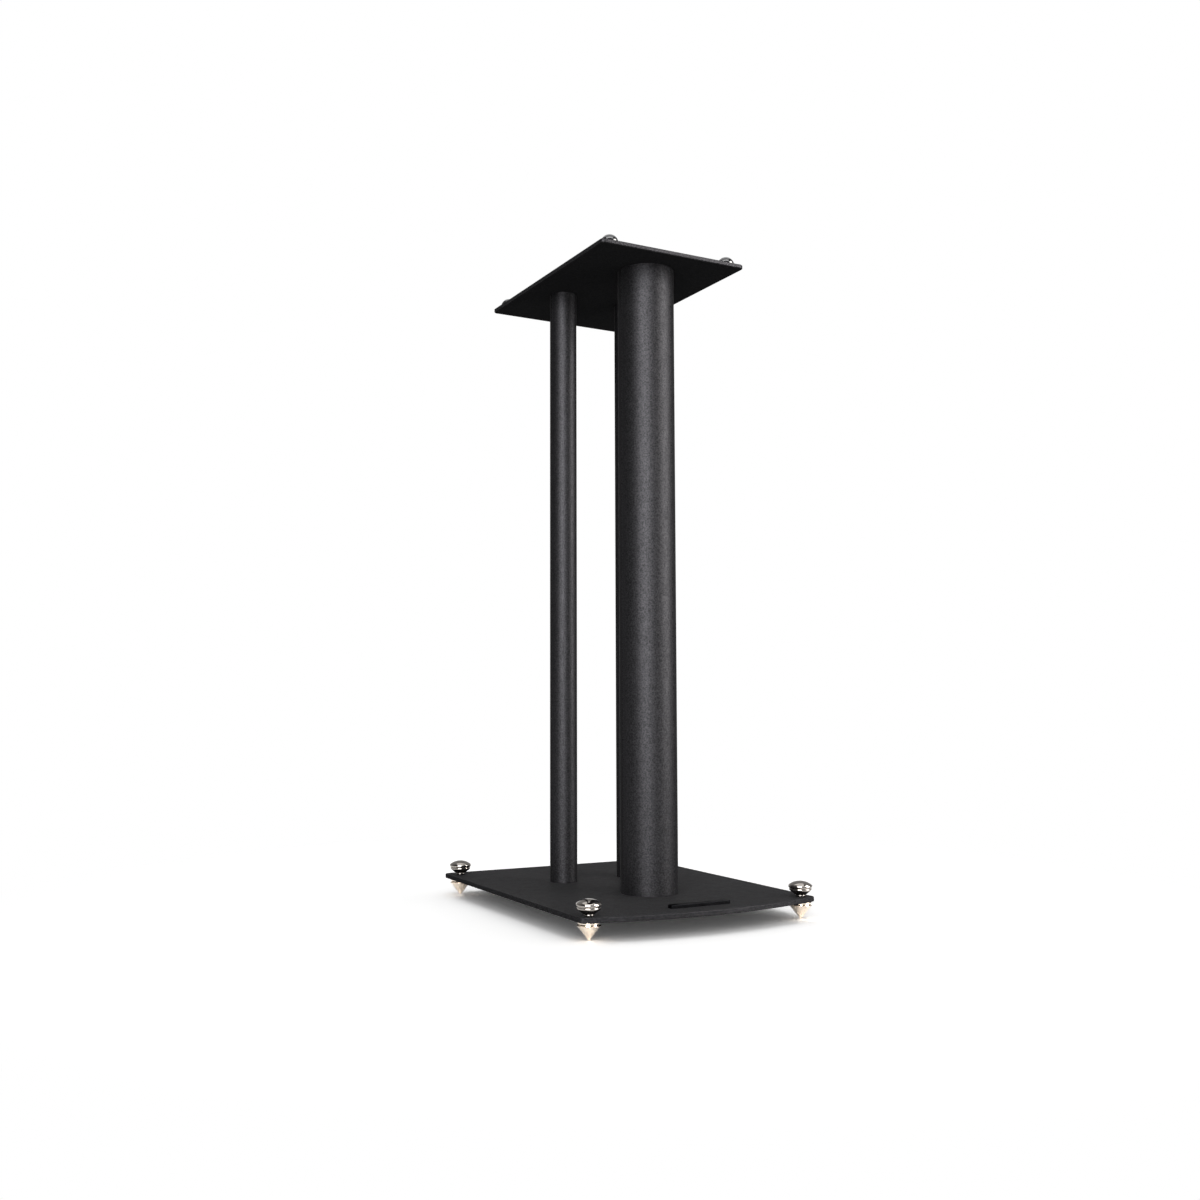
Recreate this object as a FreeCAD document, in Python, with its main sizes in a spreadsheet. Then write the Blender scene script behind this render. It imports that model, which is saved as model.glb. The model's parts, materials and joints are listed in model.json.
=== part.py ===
import FreeCAD, Part
import Sketcher

import math
import os

# Speaker stand: one thick pillar and two thin tubes between a bowed base plate and a small top
# plate, on four screw-in floor spikes that are locked from above by round knobs.
#
# Frame, in millimetres: Z up, the front with the badge faces -Y, left is -X. The origin is on the
# floor, under the middle of the base plate, and the spikes' tips touch Z = 0.

doc = FreeCAD.newDocument("SpeakerStand")
sheet = doc.addObject("Spreadsheet::Sheet", "Sizes")
pieces = []


class Size:
    """A length or angle with its value and the sheet expression that drives it."""

    def __init__(self, value, text):
        self.value = value
        self.text = text

    def __add__(self, other):
        return Size(self.value + other.value, f"({self.text} + {other.text})")

    def __sub__(self, other):
        return Size(self.value - other.value, f"({self.text} - {other.text})")

    def __mul__(self, number):
        return Size(self.value * number, f"({self.text} * {number})")

    def __neg__(self):
        return Size(-self.value, f"(-{self.text})")


def size(alias, value, meaning):
    """Write one driving size into the sheet and hand it back."""
    size.row += 1
    sheet.set(f"A{size.row}", alias)
    sheet.set(f"B{size.row}", str(value))
    sheet.set(f"C{size.row}", meaning)
    sheet.setAlias(f"B{size.row}", alias)
    return Size(float(value), f"Sizes.{alias}")


size.row = 0
ZERO = Size(0.0, "0")

# Base plate
base_width = size("base_width", 230, "base plate, left to right")
base_side = size("base_side", 276, "base plate, straight side from back to front corner")
front_bow = size("front_bow", 17, "how far the front edge bows out at its middle")
base_thick = size("base_thick", 4, "base plate thickness")
base_corner = size("base_corner", 5, "base plate corner radius")
plate_edge = size("plate_edge", 0.5, "broken edge round both faces of a plate")

# Top plate
top_width = size("top_width", 147.5, "top plate, left to right")
top_depth = size("top_depth", 221, "top plate, front to back")
top_thick = size("top_thick", 3.5, "top plate thickness")
top_corner = size("top_corner", 4, "top plate corner radius")
top_setback = size("top_setback", 20, "from the base's back edge to the top plate's back edge")

# Pillar and tubes
column_height = size("column_height", 556, "pillar and tubes, between the plates")
pillar_radius = size("pillar_radius", 25.4, "pillar, outer radius")
rear_tube_radius = size("rear_tube_radius", 12.7, "rear tubes, outer radius")
pillar_wall = size("pillar_wall", 2, "pillar wall")
rear_tube_wall = size("rear_tube_wall", 1.5, "rear tube wall")
pillar_from_back = size("pillar_from_back", 191.5, "base's back edge to the pillar's axis")
rear_tube_from_back = size("rear_tube_from_back", 99, "base's back edge to the rear tubes' axes")
rear_tube_offset = size("rear_tube_offset", 35.8, "rear tubes' axes from the middle")
weld_gap = size("weld_gap", 0.1, "end plug to tube wall, all round")
pillar_plug_height = size("pillar_plug_height", 12, "pillar end plug")
rear_plug_height = size("rear_plug_height", 18, "rear tube end plug")

# Countersunk screws that hold the plates to the end plugs
screw_radius = size("screw_radius", 3, "M6 screw, shank radius")
screw_head_radius = size("screw_head_radius", 6, "countersunk head radius")
screw_reach = size("screw_reach", 20, "screw length over its head")
screw_sink = size("screw_sink", 0.1, "head below the plate's face")
socket_flats = size("socket_flats", 4, "hex socket across its flats")
socket_depth = size("socket_depth", 2, "hex socket depth")
screw_clear = size("screw_clear", 0.1, "screw to the plate's hole, all round")
tap_clear = size("tap_clear", 0.02, "screw to the end plug's thread, all round")

# Floor spikes
foot_side_inset = size("foot_side_inset", 11, "base's side edge to a foot's axis")
foot_back_inset = size("foot_back_inset", 14.7, "base's back edge to the back feet's axes")
foot_front_inset = size("foot_front_inset", 23.5, "front edge's middle to the front feet's axes")
spike_cone_height = size("spike_cone_height", 12.2, "spike cone, tip to its widest edge")
spike_head_radius = size("spike_head_radius", 10, "spike's widest edge")
spike_head_height = size("spike_head_height", 3, "shoulder above the widest edge")
spike_shoulder_radius = size("spike_shoulder_radius", 9.1, "foot of the shoulder's upright band")
spike_shoulder_drop = size("spike_shoulder_drop", 2.1, "from the base plate down to that foot")
spike_seat_radius = size("spike_seat_radius", 8.9, "shoulder's top, which seats on the base plate")
spike_tip_radius = size("spike_tip_radius", 0.3, "blunt tip")
stud_radius = size("stud_radius", 3, "M6 stud radius")
stud_clear = size("stud_clear", 0.05, "stud to each thread it runs in, all round")
stud_in_cone = size("stud_in_cone", 8, "stud inside the spike's head and cone")
stud_above_base = size("stud_above_base", 10.5, "stud above the base plate")
stud_end_gap = size("stud_end_gap", 0.2, "stud end to the bottom of its hole")

# Lock knobs: a threaded insert with a neck, and a polished cap over it
neck_radius = size("neck_radius", 4.4, "insert's neck, which seats on the base plate")
neck_height = size("neck_height", 1.8, "neck height")
insert_radius = size("insert_radius", 4, "insert inside the cap")
insert_height = size("insert_height", 11.9, "insert over all")
insert_bore_depth = size("insert_bore_depth", 11, "threaded hole in the insert")
cap_clear = size("cap_clear", 0.05, "cap to insert, all round")
cap_mouth_radius = size("cap_mouth_radius", 4.8, "cap's underside where it meets the neck")
skirt_radius = size("skirt_radius", 8.8, "bottom of the cap's skirt")
skirt_low = size("skirt_low", 5, "skirt's bottom above the plate")
skirt_wide_radius = size("skirt_wide_radius", 9.7, "skirt's widest edge")
skirt_wide = size("skirt_wide", 6, "skirt's widest edge above the plate")
skirt_top_radius = size("skirt_top_radius", 9.5, "top of the cap's skirt")
skirt_top = size("skirt_top", 6.9, "skirt's top above the plate")
groove_radius = size("groove_radius", 9.2, "floor of the groove round the cap")
groove_high = size("groove_high", 7.3, "groove's upper corner above the plate")
rim_radius = size("rim_radius", 10.25, "widest band of the cap")
rim_low = size("rim_low", 7.6, "rim's lower edge above the plate")
rim_high = size("rim_high", 10.3, "rim's upper edge above the plate")
rim_bevel = size("rim_bevel", 0.6, "how far the rim's bevels run in")
rim_bevel_rise = size("rim_bevel_rise", 0.9, "height of each of the rim's bevels")
dome_top = size("dome_top", 13.4, "top of the cap above the plate")

# Pads under the speaker, stuck on by hand, and the bare badge
pad_radius = size("pad_radius", 7.9, "hemispherical pad")
front_pad_offset = size("front_pad_offset", 60.6, "front pads from the middle")
front_pad_inset = size("front_pad_inset", 10.2, "top plate's front edge to the front pads")
back_pad_offset = size("back_pad_offset", 63, "back pads from the middle")
back_pad_inset = size("back_pad_inset", 14.5, "top plate's back edge to the back pads")
badge_length = size("badge_length", 58, "badge, left to right")
badge_depth = size("badge_depth", 6.5, "badge, front to back")
badge_height = size("badge_height", 2.8, "badge thickness")
badge_inset = size("badge_inset", 20.5, "front edge's middle to the badge")
badge_corner = size("badge_corner", 1.5, "badge corner radius")
badge_edge = size("badge_edge", 0.4, "chamfer round the badge's face")
doc.recompute()

# Levels above the floor and places in plan that follow from the sizes
UNDERSIDE = spike_cone_height + spike_head_height
DECK = UNDERSIDE + base_thick
COLUMN_TOP = DECK + column_height
SPEAKER_DECK = COLUMN_TOP + top_thick
BACK = (base_side + front_bow) * 0.5
FRONT = -BACK
PILLAR_Y = BACK - pillar_from_back
REAR_TUBE_Y = BACK - rear_tube_from_back
TOP_BACK = BACK - top_setback
TOP_FRONT = TOP_BACK - top_depth
FOOT_X = base_width * 0.5 - foot_side_inset
FRONT_FOOT_Y = FRONT + foot_front_inset
BACK_FOOT_Y = BACK - foot_back_inset
FEET = {
    "front_left": (-FOOT_X, FRONT_FOOT_Y),
    "front_right": (FOOT_X, FRONT_FOOT_Y),
    "back_left": (-FOOT_X, BACK_FOOT_Y),
    "back_right": (FOOT_X, BACK_FOOT_Y),
}
PADS = {
    "front_left": (-front_pad_offset, TOP_FRONT + front_pad_inset),
    "front_right": (front_pad_offset, TOP_FRONT + front_pad_inset),
    "back_left": (-back_pad_offset, TOP_BACK - back_pad_inset),
    "back_right": (back_pad_offset, TOP_BACK - back_pad_inset),
}
COLUMNS = {
    "pillar": (ZERO, PILLAR_Y),
    "rear_left": (-rear_tube_offset, REAR_TUBE_Y),
    "rear_right": (rear_tube_offset, REAR_TUBE_Y),
}

# How a sketch numbers its origin point, its axes, and the start, end and centre of a curve
ORIGIN = (-1, 1)
H_AXIS, V_AXIS = -1, -2
START, END, CENTRE = range(1, 4)
NORMAL = FreeCAD.Vector(0, 0, 1)
HEXAGON_SIDES = 6
HEXAGON_CORNER = 1 / math.sqrt(3)
TOUCHING = 1e-6


def place(piece, x, y, z, turned_over=False):
    """Place a finished piece, upside down if it is mounted from below."""
    flip = FreeCAD.Rotation(FreeCAD.Vector(1, 0, 0), 180 if turned_over else 0)
    piece.Placement = FreeCAD.Placement(FreeCAD.Vector(x.value, y.value, z.value), flip)
    piece.setExpression("Placement.Base.x", x.text)
    piece.setExpression("Placement.Base.y", y.text)
    piece.setExpression("Placement.Base.z", z.text)


def finish(piece, label):
    """Name a finished piece and list it for writing."""
    piece.Label = label
    pieces.append(piece)
    return piece


def new_body(label):
    return finish(doc.addObject("PartDesign::Body", label), label)


def new_sketch(body, name, role):
    """An empty sketch on one of the body's own origin planes."""
    sketch = body.newObject("Sketcher::SketchObject", name)
    plane = [item for item in body.Origin.OriginFeatures if item.Role == role][0]
    sketch.AttachmentSupport = (plane, [""])
    sketch.MapMode = "FlatFace"
    return sketch


def drive(sketch, kind, points, length):
    """Add a constraint whose value comes from the sheet."""
    index = sketch.addConstraint(Sketcher.Constraint(kind, *points, length.value))
    sketch.setExpression(f"Constraints[{index}]", length.text)


def pin_point(sketch, point, x, y):
    """Hold a point at x, y from the sketch's origin; a negative length runs the other way."""
    for kind, length, axis in (("DistanceX", x, V_AXIS), ("DistanceY", y, H_AXIS)):
        if length.value == 0:
            sketch.addConstraint(Sketcher.Constraint("PointOnObject", *point, axis))
        elif length.value > 0:
            drive(sketch, kind, (*ORIGIN, *point), length)
        else:
            drive(sketch, kind, (*point, *ORIGIN), -length)


def add_circle(sketch, x, y, radius):
    centre = FreeCAD.Vector(x.value, y.value, 0)
    circle = sketch.addGeometry(Part.Circle(centre, NORMAL, radius.value))
    pin_point(sketch, (circle, CENTRE), x, y)
    drive(sketch, "Radius", (circle,), radius)


def add_arc(sketch, start, end, radius):
    """An anticlockwise arc whose centre lies on the sketch's vertical axis."""
    x0, y0, x1, y1 = start[0].value, start[1].value, end[0].value, end[1].value
    if radius:
        centre_y = y0 + math.sqrt(radius.value**2 - x0**2)
    else:
        centre_y = (x1**2 + y1**2 - x0**2 - y0**2) / (2 * (y1 - y0))
    circle = Part.Circle(FreeCAD.Vector(0, centre_y, 0), NORMAL, math.hypot(x0, y0 - centre_y))
    angles = (math.atan2(y0 - centre_y, x0), math.atan2(y1 - centre_y, x1))
    arc = sketch.addGeometry(Part.ArcOfCircle(circle, *angles))
    if radius:
        drive(sketch, "Radius", (arc,), radius)
    else:
        sketch.addConstraint(Sketcher.Constraint("PointOnObject", arc, CENTRE, V_AXIS))
    return arc


def add_outline(sketch, corners, arcs=()):
    """A closed outline through the corners; arcs maps a corner to the arc that leaves it."""
    arcs = dict(arcs)
    curves = []
    for number, start in enumerate(corners):
        end = corners[(number + 1) % len(corners)]
        if number in arcs:
            curves.append(add_arc(sketch, start, end, arcs[number]))
        else:
            ends = [FreeCAD.Vector(x.value, y.value, 0) for x, y in (start, end)]
            curves.append(sketch.addGeometry(Part.LineSegment(*ends)))
    for number, curve in enumerate(curves):
        join = (curves[number - 1], END, curve, START)
        sketch.addConstraint(Sketcher.Constraint("Coincident", *join))
        pin_point(sketch, (curve, START), *corners[number])


def pad_up(body, sketch, height):
    pad = body.newObject("PartDesign::Pad", "Pad")
    pad.Profile = sketch
    pad.setExpression("Length", height.text)
    sketch.Visibility = False
    doc.recompute()
    return pad


def cut_through(body, sketch):
    """Cut a sketch on the bottom plane up through the whole piece."""
    before = body.Shape.Volume
    pocket = body.newObject("PartDesign::Pocket", "Pocket")
    pocket.Profile = sketch
    pocket.Type = "ThroughAll"
    pocket.Reversed = True
    doc.recompute()
    if body.Shape.Volume >= before:
        raise RuntimeError(f"{body.Label}: the holes cut nothing")
    return pocket


def dress(body, kind, length, wanted):
    """Fillet or chamfer every edge of the body's tip that wanted() accepts."""
    tip = body.Tip
    names = [f"Edge{n}" for n, edge in enumerate(tip.Shape.Edges, 1) if wanted(edge)]
    feature = body.newObject(f"PartDesign::{kind}", kind)
    feature.Base = (tip, names)
    feature.setExpression("Radius" if kind == "Fillet" else "Size", length.text)
    doc.recompute()
    return feature


def is_upright(edge):
    return edge.BoundBox.ZLength > TOUCHING and edge.BoundBox.XLength < TOUCHING


def is_level(edge):
    return edge.BoundBox.ZLength < TOUCHING


def is_rim(edge, radius, height):
    """Whether an edge is a level circle of this radius at this height."""
    if edge.Degenerated or not is_level(edge) or edge.Curve.TypeId != "Part::GeomCircle":
        return False
    same_radius = abs(edge.Curve.Radius - radius.value) < TOUCHING
    return same_radius and abs(edge.BoundBox.ZMin - height.value) < TOUCHING


def turned(label, corners, arcs=()):
    """A piece turned about its own upright axis from half an outline."""
    body = new_body(label)
    sketch = new_sketch(body, "Profile", "XZ_Plane")
    add_outline(sketch, corners, arcs)
    revolution = body.newObject("PartDesign::Revolution", "Revolution")
    revolution.Profile = sketch
    revolution.ReferenceAxis = (sketch, ["V_Axis"])
    revolution.Angle = 360
    sketch.Visibility = False
    doc.recompute()
    return body


def plate(label, corners, arcs, thick, corner_radius, centre_y, sunk_face):
    """A flat steel plate with rounded corners and a countersunk hole under each column."""
    body = new_body(label)
    sketch = new_sketch(body, "Outline", "XY_Plane")
    add_outline(sketch, corners, arcs)
    pad_up(body, sketch, thick)
    dress(body, "Fillet", corner_radius, is_upright)
    dress(body, "Chamfer", plate_edge, is_level)
    holes = new_sketch(body, "ScrewHoles", "XY_Plane")
    for x, y in COLUMNS.values():
        add_circle(holes, x, y - centre_y, screw_radius + screw_clear)
    cut_through(body, holes)
    sink = screw_head_radius + screw_sink - screw_radius - screw_clear
    dress(body, "Chamfer", sink, lambda edge: is_rim(edge, screw_radius + screw_clear, sunk_face))
    return body


def make_base_plate():
    half = base_width * 0.5
    bow_value = (half.value**2 + front_bow.value**2) / (2 * front_bow.value)
    bow_text = f"({half.text} ^ 2 + {front_bow.text} ^ 2) / (2 * {front_bow.text})"
    corner_y = BACK - base_side
    corners = [(-half, BACK), (-half, corner_y), (half, corner_y), (half, BACK)]
    bow = {1: Size(bow_value, bow_text)}
    body = plate("base_plate", corners, bow, base_thick, base_corner, ZERO, ZERO)
    holes = new_sketch(body, "SpikeHoles", "XY_Plane")
    for x, y in FEET.values():
        add_circle(holes, x, y, stud_radius + stud_clear)
    cut_through(body, holes)
    place(body, ZERO, ZERO, UNDERSIDE)


def make_top_plate():
    half_width = top_width * 0.5
    half_depth = top_depth * 0.5
    centre_y = TOP_BACK - half_depth
    corners = [
        (-half_width, -half_depth),
        (half_width, -half_depth),
        (half_width, half_depth),
        (-half_width, half_depth),
    ]
    body = plate("top_plate", corners, {}, top_thick, top_corner, centre_y, top_thick)
    place(body, ZERO, centre_y, COLUMN_TOP)


def make_tube(label, x, y, radius, wall):
    body = new_body(label)
    sketch = new_sketch(body, "Section", "XY_Plane")
    add_circle(sketch, ZERO, ZERO, radius)
    add_circle(sketch, ZERO, ZERO, radius - wall)
    pad_up(body, sketch, column_height)
    place(body, x, y, DECK)


def make_plug(label, x, y, z, radius, height, turned_over):
    """A threaded end plug, welded flush into the end of a tube."""
    bore = screw_radius + tap_clear
    corners = [(bore, ZERO), (radius, ZERO), (radius, height), (bore, height)]
    place(turned(label, corners), x, y, z, turned_over)


def make_screw(label, x, y, z, turned_over):
    """A countersunk socket screw: its head is level with Z = 0 and its shank hangs down."""
    head_height = screw_head_radius - screw_radius
    head = doc.addObject("Part::Cone", "Head")
    head.setExpression("Radius1", screw_radius.text)
    head.setExpression("Radius2", screw_head_radius.text)
    head.setExpression("Height", head_height.text)
    head.setExpression("Placement.Base.z", (-head_height).text)
    shank = doc.addObject("Part::Cylinder", "Shank")
    shank.setExpression("Radius", screw_radius.text)
    shank.setExpression("Height", (screw_reach - head_height).text)
    shank.setExpression("Placement.Base.z", (-screw_reach).text)
    blank = doc.addObject("Part::MultiFuse", "Blank")
    blank.Shapes = [head, shank]
    blank.Refine = True
    socket = doc.addObject("Part::Prism", "Socket")
    socket.Polygon = HEXAGON_SIDES
    socket.setExpression("Circumradius", (socket_flats * HEXAGON_CORNER).text)
    socket.setExpression("Height", socket_depth.text)
    socket.setExpression("Placement.Base.z", (-socket_depth).text)
    screw = finish(doc.addObject("Part::Cut", label), label)
    screw.Base = blank
    screw.Tool = socket
    place(screw, x, y, z, turned_over)


def make_spike(corner, x, y):
    """A floor spike: a cone under a turned shoulder, bored from above for its stud."""
    bore = stud_radius + stud_clear
    bore_floor = UNDERSIDE - stud_in_cone - stud_end_gap
    cone = [
        (ZERO, ZERO),
        (spike_tip_radius, ZERO),
        (spike_head_radius, spike_cone_height),
        (spike_shoulder_radius, UNDERSIDE - spike_shoulder_drop),
        (spike_seat_radius, UNDERSIDE),
        (bore, UNDERSIDE),
        (bore, bore_floor),
        (ZERO, bore_floor),
    ]
    place(turned(f"spike_cone_{corner}", cone), x, y, ZERO)
    length = stud_in_cone + base_thick + stud_above_base
    stud = [(ZERO, ZERO), (stud_radius, ZERO), (stud_radius, length), (ZERO, length)]
    place(turned(f"spike_stud_{corner}", stud), x, y, UNDERSIDE - stud_in_cone)


def make_lock_knob(corner, x, y):
    """A round lock knob: its insert's neck sits on the base plate, its cap covers the insert."""
    bore = stud_radius + stud_clear
    insert = [
        (bore, ZERO),
        (neck_radius, ZERO),
        (neck_radius, neck_height),
        (insert_radius, neck_height),
        (insert_radius, insert_height),
        (ZERO, insert_height),
        (ZERO, insert_bore_depth),
        (bore, insert_bore_depth),
    ]
    place(turned(f"knob_insert_{corner}", insert), x, y, DECK)
    cap_bore = insert_radius + cap_clear
    cap_bore_top = insert_height + cap_clear
    mouth = neck_height + cap_clear
    cap = [
        (cap_bore, mouth),
        (cap_mouth_radius, mouth),
        (skirt_radius, skirt_low),
        (skirt_wide_radius, skirt_wide),
        (skirt_top_radius, skirt_top),
        (groove_radius, skirt_top),
        (groove_radius, groove_high),
        (rim_radius - rim_bevel, rim_low),
        (rim_radius, rim_low + rim_bevel_rise),
        (rim_radius, rim_high - rim_bevel_rise),
        (rim_radius - rim_bevel, rim_high),
        (ZERO, dome_top),
        (ZERO, cap_bore_top),
        (cap_bore, cap_bore_top),
    ]
    dome = {10: None}
    place(turned(f"knob_cap_{corner}", cap, dome), x, y, DECK)


def make_pad(corner, x, y):
    pad = finish(doc.addObject("Part::Sphere", f"pad_{corner}"), f"pad_{corner}")
    pad.setExpression("Radius", pad_radius.text)
    pad.Angle1 = 0
    place(pad, x, y, SPEAKER_DECK)


def make_badge():
    half_length = badge_length * 0.5
    half_depth = badge_depth * 0.5
    corners = [
        (-half_length, -half_depth),
        (half_length, -half_depth),
        (half_length, half_depth),
        (-half_length, half_depth),
    ]
    body = new_body("badge")
    sketch = new_sketch(body, "Outline", "XY_Plane")
    add_outline(sketch, corners)
    pad_up(body, sketch, badge_height)
    dress(body, "Fillet", badge_corner, is_upright)
    face = badge_height.value - TOUCHING
    dress(body, "Chamfer", badge_edge, lambda edge: edge.BoundBox.ZMin > face)
    place(body, ZERO, FRONT + badge_inset + half_depth, DECK)


make_base_plate()
make_top_plate()
for column, (x, y) in COLUMNS.items():
    is_pillar = column == "pillar"
    radius = pillar_radius if is_pillar else rear_tube_radius
    wall = pillar_wall if is_pillar else rear_tube_wall
    plug_height = pillar_plug_height if is_pillar else rear_plug_height
    plug_radius = radius - wall - weld_gap
    make_tube("main_pillar" if is_pillar else f"{column}_tube", x, y, radius, wall)
    make_plug(f"{column}_plug_bottom", x, y, DECK, plug_radius, plug_height, False)
    make_plug(f"{column}_plug_top", x, y, COLUMN_TOP, plug_radius, plug_height, True)
    make_screw(f"{column}_screw_bottom", x, y, UNDERSIDE + screw_sink, True)
    make_screw(f"{column}_screw_top", x, y, SPEAKER_DECK - screw_sink, False)
for corner, (x, y) in FEET.items():
    make_spike(corner, x, y)
    make_lock_knob(corner, x, y)
for corner, (x, y) in PADS.items():
    make_pad(corner, x, y)
make_badge()
doc.recompute()

failed = [item.Name for item in doc.Objects if {"Invalid", "Error"} & set(item.State)]
if failed:
    raise RuntimeError(f"failed objects: {failed}")
for piece in pieces:
    if piece.Shape.isNull() or not piece.Shape.isValid():
        raise RuntimeError(f"bad shape: {piece.Label}")

os.makedirs("parts", exist_ok=True)
for piece in pieces:
    piece.Shape.exportStep(f"parts/{piece.Label}.step")
    print(f"{piece.Label:28s} {piece.Shape.Volume:12.1f} mm3")
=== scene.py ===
import json
import math

import bmesh
import bpy
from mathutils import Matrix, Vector


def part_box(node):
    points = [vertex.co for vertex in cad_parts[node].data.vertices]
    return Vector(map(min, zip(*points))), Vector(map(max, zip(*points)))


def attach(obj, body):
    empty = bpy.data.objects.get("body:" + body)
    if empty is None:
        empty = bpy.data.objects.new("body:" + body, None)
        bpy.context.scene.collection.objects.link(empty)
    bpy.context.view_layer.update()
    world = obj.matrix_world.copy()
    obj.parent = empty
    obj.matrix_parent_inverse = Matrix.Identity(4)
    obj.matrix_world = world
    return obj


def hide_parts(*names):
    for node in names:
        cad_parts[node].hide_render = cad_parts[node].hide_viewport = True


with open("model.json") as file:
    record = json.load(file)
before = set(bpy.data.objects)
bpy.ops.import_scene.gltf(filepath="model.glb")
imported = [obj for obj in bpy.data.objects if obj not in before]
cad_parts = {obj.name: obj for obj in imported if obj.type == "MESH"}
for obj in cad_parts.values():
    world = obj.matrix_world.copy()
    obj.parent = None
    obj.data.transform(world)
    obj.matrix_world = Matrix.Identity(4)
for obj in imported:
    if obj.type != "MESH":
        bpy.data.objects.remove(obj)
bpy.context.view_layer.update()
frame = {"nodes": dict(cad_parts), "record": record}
nodes = frame["nodes"]
MM = 0.001


# ---------------------------------------------------------------- materials

GRAIN_PER_MM = 0.75
GRAIN_DETAIL, GRAIN_ROUGHNESS = 3.0, 0.75
GRAIN_SPAN = (0.36, 0.64)
WAVES_PER_MM = 0.12
WAVE_DEPTH = 0.02
GLOSS_CHANGE = 0.03
COAT_SPECULAR_TINT = (0.2, 0.2, 0.2, 1)
COAT_SHEEN_ROUGHNESS = 0.5
HANDLING_PER_MM = 0.25
HANDLING_DETAIL, HANDLING_ROUGHNESS = 3.0, 0.6
HANDLED_GLOSS = (0.8, 1.3)
MOTTLE_PER_MM = 0.6
MOTTLE_DETAIL = 3.0
MOTTLE_DEPTH = 0.01
MOTTLED_GLOSS = (0.85, 1.15)
CLOUD_SPAN = (0.3, 0.7)


class Shader:
    """A node tree with its Principled shader and short ways to add nodes and links."""

    def __init__(self, name):
        self.material = bpy.data.materials.new(name)
        self.material.use_nodes = True
        self.tree = self.material.node_tree
        self.main = self.tree.nodes["Principled BSDF"]

    def set(self, **values):
        for name, value in values.items():
            self.main.inputs[name.replace("_", " ")].default_value = value

    def add(self, kind, inputs=(), **settings):
        node = self.tree.nodes.new(kind)
        for name, value in settings.items():
            setattr(node, name, value)
        for name, value in dict(inputs).items():
            if isinstance(value, bpy.types.NodeSocket):
                self.tree.links.new(value, node.inputs[name])
            else:
                node.inputs[name].default_value = value
        return node

    def link(self, socket, name):
        self.tree.links.new(socket, self.main.inputs[name])

    def place(self):
        """Position on the object, in millimetres."""
        where = self.add("ShaderNodeTexCoord").outputs["Object"]
        scaled = self.add("ShaderNodeVectorMath", {0: where, "Scale": 1 / MM}, operation="SCALE")
        return scaled.outputs["Vector"]

    def noise(self, where, scale, detail=2.0, roughness=0.5):
        wanted = {"Vector": where, "Scale": scale, "Detail": detail, "Roughness": roughness}
        return self.add("ShaderNodeTexNoise", wanted).outputs["Fac"]

    def noise_1d(self, value):
        """Noise along one length, one feature to each unit of value."""
        node = self.add("ShaderNodeTexNoise", noise_dimensions="1D")
        self.tree.links.new(value, node.inputs["W"])
        node.inputs["Scale"].default_value = 1.0
        node.inputs["Detail"].default_value = 2.0
        return node.outputs["Fac"]

    def ramp(self, value, low, high, span):
        """Value mapped from a span to low and high, and clamped."""
        wanted = {
            "Value": value,
            "From Min": span[0],
            "From Max": span[1],
            "To Min": low,
            "To Max": high,
        }
        return self.add("ShaderNodeMapRange", wanted).outputs["Result"]

    def blend(self, value, low, high):
        """Colour between two, by a value from 0 to 1."""
        mix = self.add("ShaderNodeMix", data_type="RGBA")
        self.tree.links.new(value, mix.inputs["Factor"])
        mix.inputs["A"].default_value = (*low, 1)
        mix.inputs["B"].default_value = (*high, 1)
        return mix.outputs["Result"]

    def bump(self, height, depth, under=None):
        """Normal of a relief, its depth in millimetres, laid over another normal if given."""
        wanted = {"Height": height, "Distance": depth * MM, "Strength": 1.0}
        if under:
            wanted["Normal"] = under
        return self.add("ShaderNodeBump", wanted).outputs["Normal"]


def powder_coat(name, low, high, roughness, flake, sheen, grain):
    """Fine-textured black powder coat: a sandy skin over a slow, shallow waviness."""
    shader = Shader(name)
    where = shader.place()
    fine = shader.noise(where, GRAIN_PER_MM, GRAIN_DETAIL, GRAIN_ROUGHNESS)
    slow = shader.noise(where, WAVES_PER_MM)
    shader.link(shader.blend(shader.ramp(fine, 0, 1, GRAIN_SPAN), low, high), "Base Color")
    gloss = shader.ramp(slow, roughness - GLOSS_CHANGE, roughness + GLOSS_CHANGE, CLOUD_SPAN)
    shader.link(gloss, "Roughness")
    wavy = shader.bump(slow, WAVE_DEPTH)
    shader.link(shader.bump(fine, grain, wavy), "Normal")
    shader.set(Metallic=flake, Specular_Tint=COAT_SPECULAR_TINT, Specular_IOR_Level=0.0)
    shader.set(Sheen_Weight=sheen, Sheen_Roughness=COAT_SHEEN_ROUGHNESS)
    return shader.material


def polished_metal(name, low, high, roughness, ring_pitch, ring_depth):
    """Turned and plated metal: faint rings round the axis and a cloudy trace of handling."""
    shader = Shader(name)
    where = shader.place()
    height = shader.add("ShaderNodeSeparateXYZ", {0: where}).outputs["Z"]
    pitched = shader.add("ShaderNodeMath", {0: height, 1: 1 / ring_pitch}, operation="MULTIPLY")
    rings = shader.noise_1d(pitched.outputs[0])
    cloud = shader.noise(where, HANDLING_PER_MM, HANDLING_DETAIL, HANDLING_ROUGHNESS)
    shader.link(shader.blend(shader.ramp(cloud, 0, 1, CLOUD_SPAN), low, high), "Base Color")
    least, most = HANDLED_GLOSS
    gloss = shader.ramp(cloud, roughness * least, roughness * most, CLOUD_SPAN)
    shader.link(gloss, "Roughness")
    shader.link(shader.bump(rings, ring_depth), "Normal")
    shader.set(Metallic=1.0)
    return shader.material


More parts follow.
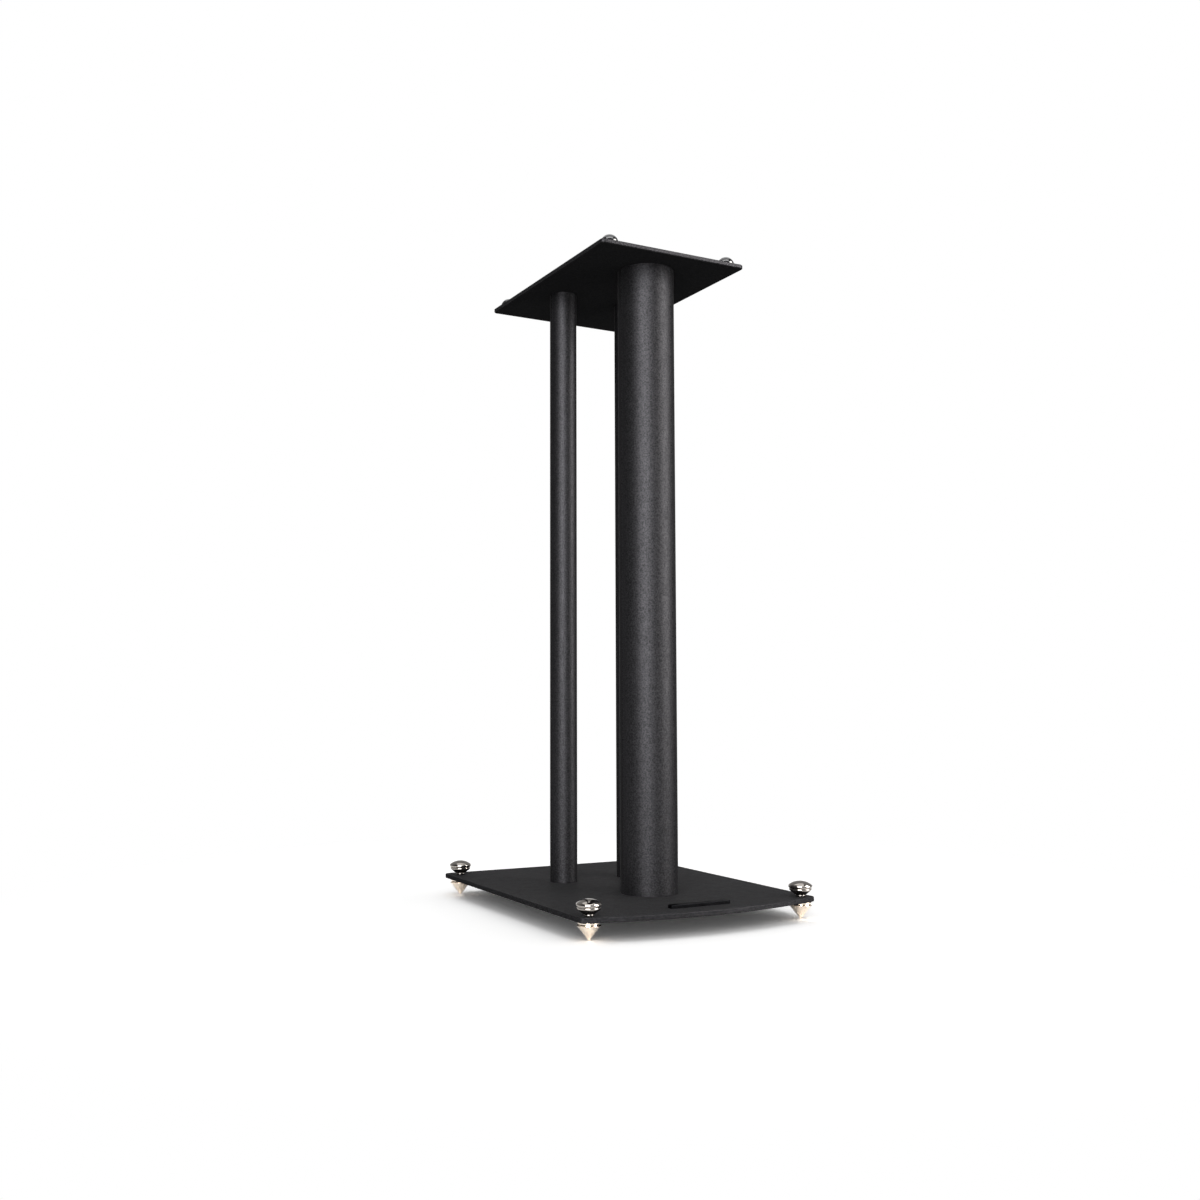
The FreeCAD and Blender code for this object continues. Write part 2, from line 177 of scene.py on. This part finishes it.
def moulded(name, low, high, roughness, specular):
    """Smooth moulded rubber or black oxide with a slight mottle."""
    shader = Shader(name)
    where = shader.place()
    cloud = shader.noise(where, MOTTLE_PER_MM, MOTTLE_DETAIL)
    shader.link(shader.blend(shader.ramp(cloud, 0, 1, CLOUD_SPAN), low, high), "Base Color")
    least, most = MOTTLED_GLOSS
    gloss = shader.ramp(cloud, roughness * least, roughness * most, CLOUD_SPAN)
    shader.link(gloss, "Roughness")
    shader.link(shader.bump(cloud, MOTTLE_DEPTH), "Normal")
    shader.set(Specular_IOR_Level=specular)
    return shader.material


COATS = {
    "powder_coat": {
        "low": (0.0178, 0.0175, 0.0188),
        "high": (0.0465, 0.0455, 0.049),
        "roughness": 0.45,
        "flake": 0.5,
        "sheen": 0.05,
        "grain": 0.05,
    },
    "badge_metal": {
        "low": (0.009, 0.009, 0.01),
        "high": (0.016, 0.016, 0.018),
        "roughness": 0.3,
        "flake": 0.7,
        "sheen": 0.0,
        "grain": 0.01,
    },
}
METALS = {
    "plain_steel": {
        "low": (0.42, 0.42, 0.43),
        "high": (0.5, 0.5, 0.51),
        "roughness": 0.35,
        "ring_pitch": 0.3,
        "ring_depth": 0.01,
    },
    "spike_nickel": {
        "low": (0.84, 0.74, 0.63),
        "high": (0.90, 0.81, 0.71),
        "roughness": 0.08,
        "ring_pitch": 0.25,
        "ring_depth": 0.002,
    },
    "zinc_steel": {
        "low": (0.56, 0.57, 0.6),
        "high": (0.66, 0.67, 0.69),
        "roughness": 0.25,
        "ring_pitch": 0.3,
        "ring_depth": 0.005,
    },
    "insert_steel": {
        "low": (0.13, 0.12, 0.112),
        "high": (0.17, 0.158, 0.148),
        "roughness": 0.22,
        "ring_pitch": 0.3,
        "ring_depth": 0.004,
    },
    "knob_nickel": {
        "low": (0.33, 0.305, 0.28),
        "high": (0.42, 0.39, 0.36),
        "roughness": 0.06,
        "ring_pitch": 0.25,
        "ring_depth": 0.002,
    },
}
SMOOTH = {
    "black_screw": {
        "low": (0.02, 0.02, 0.022),
        "high": (0.04, 0.04, 0.043),
        "roughness": 0.38,
        "specular": 0.5,
    },
    "pad_rubber": {
        "low": (0.004, 0.004, 0.006),
        "high": (0.008, 0.008, 0.011),
        "roughness": 0.12,
        "specular": 1.0,
    },
}
MATERIALS = {}
for make, table in ((powder_coat, COATS), (polished_metal, METALS), (moulded, SMOOTH)):
    for slot, look in table.items():
        MATERIALS[slot] = make(slot, **look)

for part in frame["record"]["subparts"]:
    mesh = nodes[part["node"]].data
    mesh.materials.clear()
    mesh.materials.append(MATERIALS[part["material_slot"]])


# ---------------------------------------------------------------- turned pieces

CORNERS = ("front_left", "front_right", "back_left", "back_right")
STEPS = 96
ARC_STEPS = 6
DOME_STEPS = 16
PAD_STEPS = 24
PAD_RADIUS = 7.9
ON_AXIS = 1e-6
WELD = 1e-7
SHARP_ANGLE = 35
THREAD_ROOT = 2.5
THREAD_CREST = 2.95
THREAD_PITCH = 1.0
THREAD_STEPS = 32


def rounded(corners):
    """Points of a profile; each corner is its radius, height and how far its rounding reaches."""
    points = []
    for number, (radius, height, reach) in enumerate(corners):
        here = Vector((radius, height))
        if not reach:
            points.append(here)
            continue
        before = Vector(corners[number - 1][:2]) - here
        after = Vector(corners[number + 1][:2]) - here
        start, end = here + before.normalized() * reach, here + after.normalized() * reach
        for step in range(ARC_STEPS + 1):
            t = step / ARC_STEPS
            points.append(start * (1 - t) ** 2 + here * 2 * t * (1 - t) + end * t**2)
    return points


def dome(radius, low, high):
    """Corners of the arc over the axis from the edge of a dome to its top."""
    sphere = (radius**2 + (high - low) ** 2) / (2 * (high - low))
    widest = math.asin(radius / sphere)
    angles = [widest * (1 - step / DOME_STEPS) for step in range(1, DOME_STEPS + 1)]
    return [(sphere * math.sin(a), high - sphere * (1 - math.cos(a)), 0) for a in angles]


def centre(node):
    """The middle of a node's foot."""
    low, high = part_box(node)
    return (low[0] + high[0]) / 2, (low[1] + high[1]) / 2, low[2]


def ring(x, y, radius, angle):
    """A point round an upright axis; the radius is in millimetres."""
    return x + radius * MM * math.cos(angle), y + radius * MM * math.sin(angle)


def new_piece(name, points, faces, node, body, slot):
    """A fine piece that stands for a node, on the node's own place."""
    data = bpy.data.meshes.new(name)
    data.from_pydata(points, [], faces)
    mesh = bmesh.new()
    mesh.from_mesh(data)
    bmesh.ops.remove_doubles(mesh, verts=mesh.verts, dist=WELD)
    bmesh.ops.recalc_face_normals(mesh, faces=mesh.faces)
    mesh.to_mesh(data)
    mesh.free()
    data.shade_smooth()
    data.set_sharp_from_angle(angle=math.radians(SHARP_ANGLE))
    data.materials.append(MATERIALS[slot])
    piece = bpy.data.objects.new(name, data)
    bpy.context.scene.collection.objects.link(piece)
    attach(piece, body)
    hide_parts(node)


def turned_piece(name, profile, node, body, slot):
    """A piece turned about its upright axis from a closed profile in millimetres."""
    x, y, z = centre(node)
    low = min(height for radius, height in profile)
    points = []
    for radius, height in profile:
        for step in range(STEPS):
            point = ring(x, y, radius, 2 * math.pi * step / STEPS)
            points.append((*point, z + (height - low) * MM))
    faces = []
    for row in range(len(profile)):
        after = (row + 1) % len(profile)
        if profile[row][0] < ON_AXIS and profile[after][0] < ON_AXIS:
            continue
        for step in range(STEPS):
            turn = (step + 1) % STEPS
            pairs = (row, step), (row, turn), (after, turn), (after, step)
            faces.append(tuple(r * STEPS + s for r, s in pairs))
    new_piece(name, points, faces, node, body, slot)


def threaded_piece(name, node, body, slot):
    """A stud with a helical thread, cut off level at both ends."""
    x, y, z = centre(node)
    low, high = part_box(node)
    length = (high[2] - low[2]) / MM
    # One turn of the thread: the radius, and the share of the pitch where it is reached.
    section = [
        (THREAD_ROOT, 0.0),
        (THREAD_ROOT, 0.15),
        (THREAD_CREST, 0.5),
        (THREAD_CREST, 0.62),
        (THREAD_ROOT, 1.0),
    ]
    rows = int((length / THREAD_PITCH + 1) * THREAD_STEPS)
    points, faces = [], []
    for row in range(rows + 1):
        for radius, rise in section:
            height = (row / THREAD_STEPS + rise - 1) * THREAD_PITCH
            height = min(max(height, 0.0), length)
            point = ring(x, y, radius, 2 * math.pi * row / THREAD_STEPS)
            points.append((*point, z + height * MM))
    wide = len(section)
    for row in range(rows):
        for k in range(wide - 1):
            first = row * wide + k
            faces.append((first, first + 1, first + wide + 1, first + wide))
    for height in (0.0, length):
        start = len(points)
        for step in range(THREAD_STEPS):
            point = ring(x, y, THREAD_CREST, 2 * math.pi * step / THREAD_STEPS)
            points.append((*point, z + height * MM))
        faces.append(tuple(range(start, start + THREAD_STEPS)))
    new_piece(name, points, faces, node, body, slot)


# The lock knob's cap: a flared skirt, a groove and a domed top over a blind bore.
CAP = rounded(
    [
        (4.05, 1.85, 0),
        (4.8, 1.85, 0.2),
        (8.8, 5.0, 0.4),
        (9.7, 6.0, 0.7),
        (9.5, 6.9, 0.15),
        (9.2, 6.9, 0.1),
        (9.2, 7.3, 0.1),
        (9.65, 7.6, 0.2),
        (10.25, 8.5, 0.44),
        (10.25, 9.4, 0.44),
        (9.65, 10.3, 0.5),
        *dome(9.65, 10.3, 13.4),
        (0, 11.95, 0),
        (4.05, 11.95, 0),
    ]
)
# The threaded insert in the cap, with its collar on the base plate.
INSERT = rounded(
    [
        (0, 11, 0),
        (3.05, 11, 0),
        (3.05, 0, 0),
        (4.1, 0, 0.2),
        (4.4, 0.9, 0.6),
        (4.1, 1.8, 0.2),
        (4.0, 1.8, 0),
        (4.0, 11.9, 0),
        (0, 11.9, 0),
    ]
)
# The spike: a cone, a groove over its rim and a thin lip under the base plate.
CONE = rounded(
    [
        (0, 0, 0),
        (0.3, 0, 0.15),
        (10, 12.2, 0.2),
        (8.3, 12.5, 0.1),
        (9.35, 14.75, 0.3),
        (8.6, 15.2, 0.1),
        (3.05, 15.2, 0),
        (3.05, 7, 0),
        (0, 7, 0),
    ]
)
# A pad is half a ball on its flat face.
PAD_ANGLES = [math.pi / 2 * step / PAD_STEPS for step in range(PAD_STEPS + 1)]
PAD = [*((PAD_RADIUS * math.cos(a), PAD_RADIUS * math.sin(a)) for a in PAD_ANGLES), (0, 0)]

for corner in CORNERS:
    cap, insert, cone = f"knob_cap_{corner}", f"knob_insert_{corner}", f"spike_cone_{corner}"
    turned_piece(f"polished_cap_{corner}", CAP, cap, f"cap_{corner}", "knob_nickel")
    turned_piece(f"collared_insert_{corner}", INSERT, insert, f"insert_{corner}", "insert_steel")
    turned_piece(f"polished_spike_{corner}", CONE, cone, f"cone_{corner}", "spike_nickel")
    turned_piece(f"domed_pad_{corner}", PAD, f"pad_{corner}", "stand", "pad_rubber")
    stud = f"spike_stud_{corner}"
    threaded_piece(f"threaded_stud_{corner}", stud, f"stud_{corner}", "zinc_steel")


# ---------------------------------------------------------------- studio

AIM = Vector((0, 0, 0.3))
CAMERA_PLACE = (-0.5804, -0.9799, 0.1907)
CAMERA_YAW = 27.236
CAMERA_PITCH = 94.3
LENS = 36.986
SHIFT_X, SHIFT_Y = 0.0428, 0.0029
AMBIENT = 0.5
BOUNCE = 0.15
FLOOR_HALF = 8.0
FLOOR_NEAR = 0.26
FLOOR_FAR = 0.6
FLOOR_GLOW = 0.04
PAPER = 0.25
PAPER_SEEN = 1.3
ROOM_RADIUS = 5.0
ROOM_ROWS, ROOM_COLUMNS = 18, 72
ROOM_GAP = 35
GAP_TOP = 15
ROOM_NEAR = 0.1
ROOM_BEHIND = 0.36
ROOM_FADE = (0, 2.5)
GLOW_AHEAD = 0.02
WARM = (1.0, 0.98, 0.945)


def seen_or_not(tree, unseen, seen_level):
    """One level as seen directly, in metal or through glass, another as a light on the object."""
    path = tree.nodes.new("ShaderNodeLightPath")
    seen = path.outputs["Is Camera Ray"]
    for ray in ("Is Glossy Ray", "Is Transmission Ray"):
        either = tree.nodes.new("ShaderNodeMath")
        either.operation = "MAXIMUM"
        tree.links.new(seen, either.inputs[0])
        tree.links.new(path.outputs[ray], either.inputs[1])
        seen = either.outputs[0]
    level = tree.nodes.new("ShaderNodeMapRange")
    level.inputs["To Min"].default_value = unseen
    level.inputs["To Max"].default_value = seen_level
    tree.links.new(seen, level.inputs["Value"])
    return level.outputs["Result"]


def studio_mesh(name, points, faces, shader):
    """A piece of the studio, which isn't part of the object."""
    data = bpy.data.meshes.new(name)
    data.from_pydata(points, [], faces)
    data.materials.append(shader.material)
    item = bpy.data.objects.new(name, data)
    bpy.context.scene.collection.objects.link(item)
    return item


def make_world():
    world = bpy.data.worlds.new("studio")
    bpy.context.scene.world = world
    world.use_nodes = True
    background = world.node_tree.nodes["Background"]
    background.inputs["Color"].default_value = (1, 1, 1, 1)
    level = seen_or_not(world.node_tree, AMBIENT, 1.0)
    world.node_tree.links.new(level, background.inputs["Strength"])


def make_floor():
    """Pale paper that keeps the shadow round the stand and runs out into the backdrop's white."""
    shader = Shader("floor_paper")
    shader.link(seen_or_not(shader.tree, PAPER, PAPER_SEEN), "Base Color")
    shader.set(Roughness=0.9, Specular_IOR_Level=0.0)
    where = shader.add("ShaderNodeTexCoord").outputs["Object"]
    distance = shader.add("ShaderNodeVectorMath", {0: where}, operation="LENGTH").outputs["Value"]
    far = shader.add("ShaderNodeMapRange", {"Value": distance}, interpolation_type="SMOOTHSTEP")
    far.inputs["From Min"].default_value = FLOOR_NEAR
    far.inputs["From Max"].default_value = FLOOR_FAR
    far.inputs["To Min"].default_value = FLOOR_GLOW
    white = shader.add("ShaderNodeEmission", {"Strength": seen_or_not(shader.tree, BOUNCE, 1.0)})
    mix = shader.add("ShaderNodeMixShader", {0: far.outputs["Result"]})
    shader.tree.links.new(shader.main.outputs[0], mix.inputs[1])
    shader.tree.links.new(white.outputs[0], mix.inputs[2])
    shader.tree.links.new(mix.outputs[0], shader.tree.nodes["Material Output"].inputs["Surface"])
    corners = [(-1, -1), (1, -1), (1, 1), (-1, 1)]
    points = [(x * FLOOR_HALF, y * FLOOR_HALF, 0) for x, y in corners]
    studio_mesh("floor", points, [(0, 1, 2, 3)], shader)


def make_room():
    """The unlit studio, which only gloss shows; the white backdrop is in its low gap."""
    points, faces = [], []
    for row in range(ROOM_ROWS + 1):
        rise = math.radians(90 * row / ROOM_ROWS)
        flat, high = ROOM_RADIUS * math.cos(rise), ROOM_RADIUS * math.sin(rise)
        for column in range(ROOM_COLUMNS):
            turn = math.radians(90 - CAMERA_YAW + 360 * column / ROOM_COLUMNS)
            points.append((flat * math.cos(turn), flat * math.sin(turn), high))
    for row in range(ROOM_ROWS):
        for column in range(ROOM_COLUMNS):
            middle = (column + 0.5) * 360 / ROOM_COLUMNS
            if 90 * row / ROOM_ROWS < GAP_TOP and min(middle, 360 - middle) < ROOM_GAP:
                continue
            after = (column + 1) % ROOM_COLUMNS
            pairs = (row, column), (row, after), (row + 1, after), (row + 1, column)
            faces.append(tuple(r * ROOM_COLUMNS + c for r, c in pairs))
    shader = Shader("room_grey")
    where = shader.add("ShaderNodeTexCoord").outputs["Object"]
    yaw = math.radians(CAMERA_YAW)
    wanted = {0: where, 1: (math.sin(yaw), math.cos(yaw), 0)}
    behind = shader.add("ShaderNodeVectorMath", wanted, operation="DOT_PRODUCT").outputs["Value"]
    level = shader.ramp(behind, ROOM_NEAR, ROOM_BEHIND, ROOM_FADE)
    glow = shader.add("ShaderNodeEmission", {"Strength": level})
    shader.tree.links.new(glow.outputs[0], shader.tree.nodes["Material Output"].inputs["Surface"])
    room = studio_mesh("room", points, faces, shader)
    room.visible_camera = False
    room.visible_diffuse = False
    room.visible_transmission = False
    room.visible_shadow = False


def softbox(name, turn, distance, height, wide, tall, wash, glow, tint=(1, 1, 1)):
    """A softbox placed by its turn to the right of the camera; glow is what gloss shows of it.

    The glow hangs just in front of the wash, because two lamps in one plane hide each other.
    """
    angle = math.radians(CAMERA_YAW - turn)
    where = Vector((-math.sin(angle) * distance, -math.cos(angle) * distance, height))
    ahead = (AIM - where).normalized() * GLOW_AHEAD
    for part, radiance in (("wash", wash), ("glow", glow)):
        if not radiance:
            continue
        data = bpy.data.lights.new(f"{name}_{part}", "AREA")
        data.shape = "RECTANGLE"
        data.size = wide
        data.size_y = tall
        data.energy = radiance * math.pi * wide * tall
        data.color = tint
        item = bpy.data.objects.new(data.name, data)
        bpy.context.scene.collection.objects.link(item)
        item.location = where if part == "wash" else where + ahead
        item.rotation_euler = (AIM - where).to_track_quat("-Z", "Y").to_euler()
        item.visible_diffuse = part == "wash"
        item.visible_glossy = part == "glow"


def make_camera():
    data = bpy.data.cameras.new("camera")
    data.sensor_width = 36
    data.lens = LENS
    data.shift_x = SHIFT_X
    data.shift_y = SHIFT_Y
    camera = bpy.data.objects.new("camera", data)
    bpy.context.scene.collection.objects.link(camera)
    camera.location = CAMERA_PLACE
    camera.rotation_euler = (math.radians(CAMERA_PITCH), 0, -math.radians(CAMERA_YAW))
    bpy.context.scene.camera = camera


make_world()
make_floor()
make_room()
softbox("front", turn=-11, distance=1.6, height=0.7, wide=1.15, tall=1.45, wash=0.9, glow=13)
softbox(
    "side", turn=74, distance=1.5, height=0.85, wide=0.95, tall=1.7, wash=0.8, glow=13.5, tint=WARM
)
softbox("top", turn=180, distance=0.3, height=1.8, wide=1.4, tall=1.4, wash=2.0, glow=1)
softbox("overhead", turn=0, distance=0.62, height=1.8, wide=1.6, tall=0.5, wash=0, glow=4)
make_camera()

bpy.context.scene.view_settings.view_transform = "Standard"
